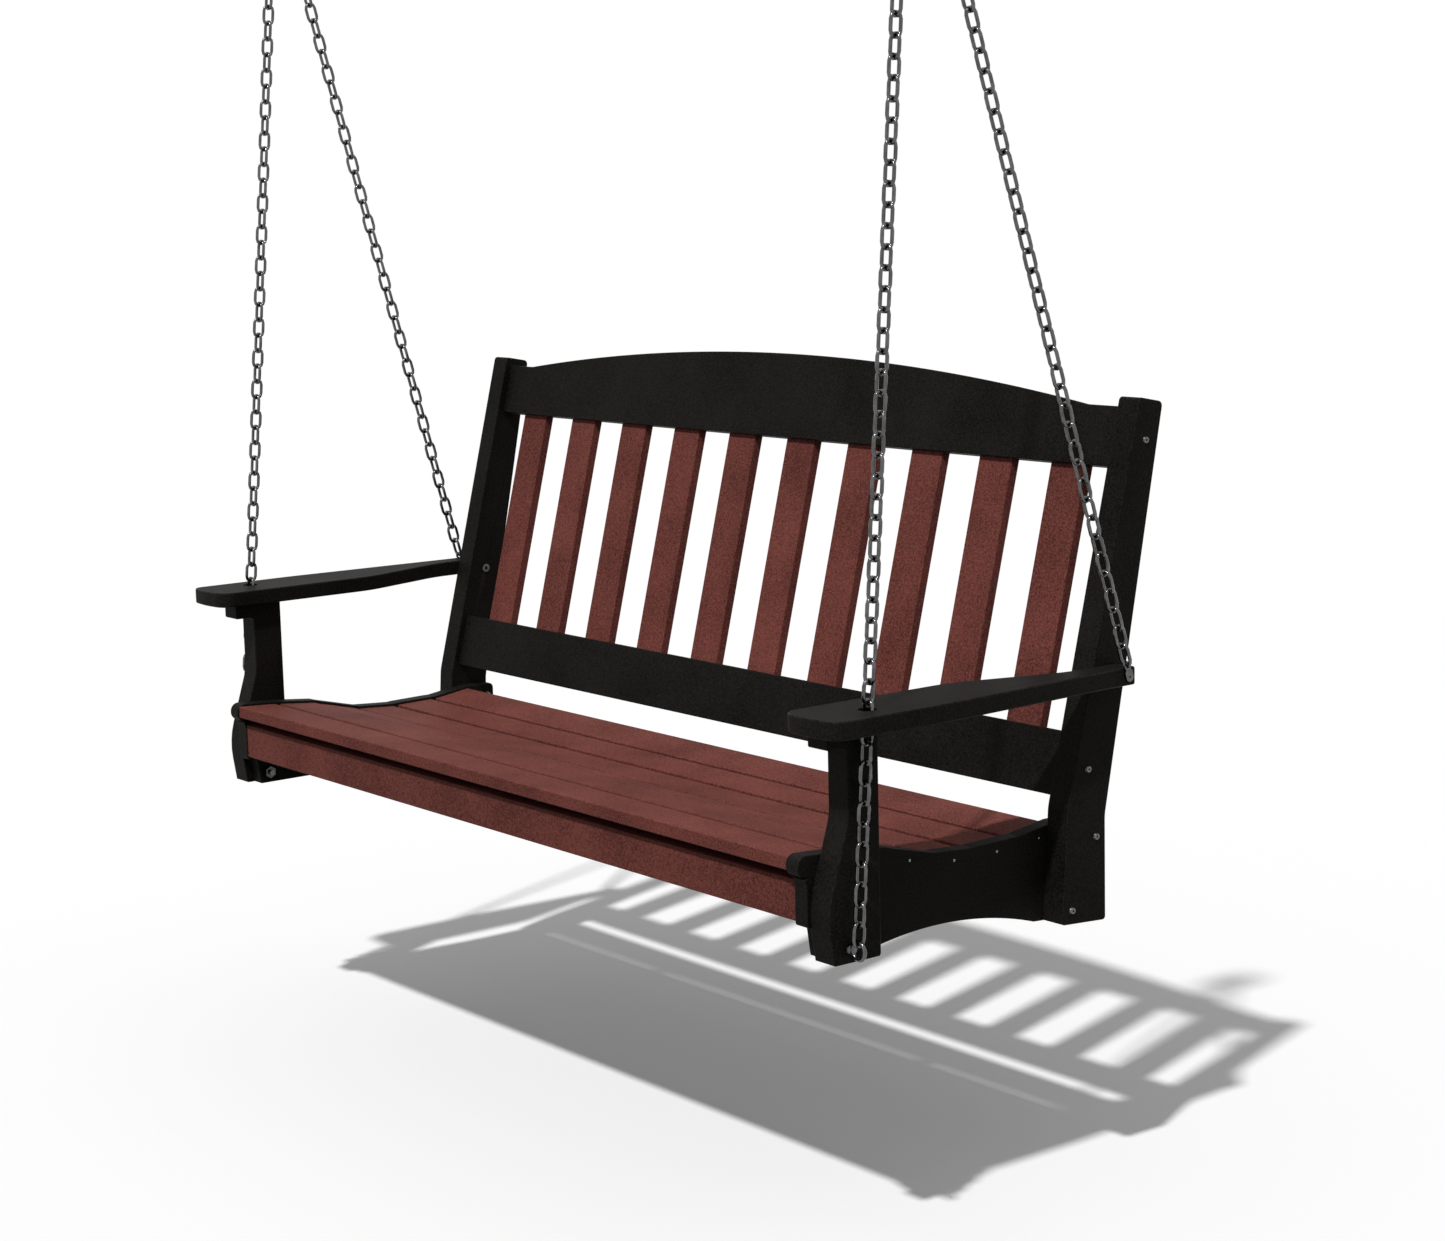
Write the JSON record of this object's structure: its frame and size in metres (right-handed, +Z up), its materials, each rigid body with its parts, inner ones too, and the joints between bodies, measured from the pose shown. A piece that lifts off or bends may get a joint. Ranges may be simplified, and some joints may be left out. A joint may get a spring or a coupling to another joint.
{
  "type": "porch swing seat",
  "caption": "Hanging porch bench with a slatted seat and leaning slatted back, level arms, and chains running from arms and seat to ceiling hangers.",
  "frame": {"origin": "on the ceiling plane, midway between the two hanger plates", "axes": "+X to the right seen from the front, the seat faces -Y, +Z up"},
  "size_m": [1.632, 0.621, 1.5543],
  "materials": {
    "black_board": "recycled plastic lumber, fine leathery grain, matt",
    "red_board": "recycled plastic lumber, fine mottled grain, matt",
    "steel": "plain bright steel chain and hardware"
  },
  "bodies": {
    "hangers": {"hanger_left": "steel", "hanger_right": "steel"},
    "swing": {"arm_left": "black_board", "arm_right": "black_board", "front_post_left": "black_board", "front_post_right": "black_board", "back_post_left": "black_board", "back_post_right": "black_board", "seat_rail_left": "black_board", "seat_rail_right": "black_board", "rail_screws_left": "steel", "rail_screws_right": "steel", "post_screws_left": "steel", "post_screws_right": "steel", "arm_screw_left": "steel", "arm_screw_right": "steel", "frame_bolts_left": "steel", "frame_bolts_right": "steel", "cap_nuts_left": "steel", "cap_nuts_right": "steel", "arm_bolt_left": "steel", "arm_bolt_right": "steel", "sleeve_nut_left": "steel", "sleeve_nut_right": "steel", "strap_left": "steel", "strap_right": "steel", "eyebolt_left": "steel", "eyebolt_right": "steel", "eye_nut_left": "steel", "eye_nut_right": "steel", "chain_front_left": "steel", "chain_front_right": "steel", "chain_rear_left": "steel", "chain_rear_right": "steel", "ring_left": "steel", "ring_right": "steel", "seat_support_left": "black_board", "seat_support_right": "black_board", "seat_slat_1": "red_board", "seat_slat_2": "red_board", "seat_slat_3": "red_board", "seat_slat_4": "red_board", "seat_slat_5": "red_board", "seat_slat_6": "red_board", "back_slat_1": "red_board", "back_slat_2": "red_board", "back_slat_3": "red_board", "back_slat_4": "red_board", "back_slat_5": "red_board", "back_slat_6": "red_board", "back_slat_7": "red_board", "back_slat_8": "red_board", "back_slat_9": "red_board", "back_slat_10": "red_board", "front_apron": "red_board", "front_stretcher": "black_board", "rear_stretcher": "black_board", "support_screws": "steel", "back_top_rail": "black_board", "back_bottom_rail": "black_board"}
  },
  "joints": [
    {"name": "swing_hinge", "type": "hinge", "parent": "hangers", "child": "swing", "pos_m": [0, 0, -0.035], "axis": [1, 0, 0], "range_deg": [-30, 30]}
  ]
}
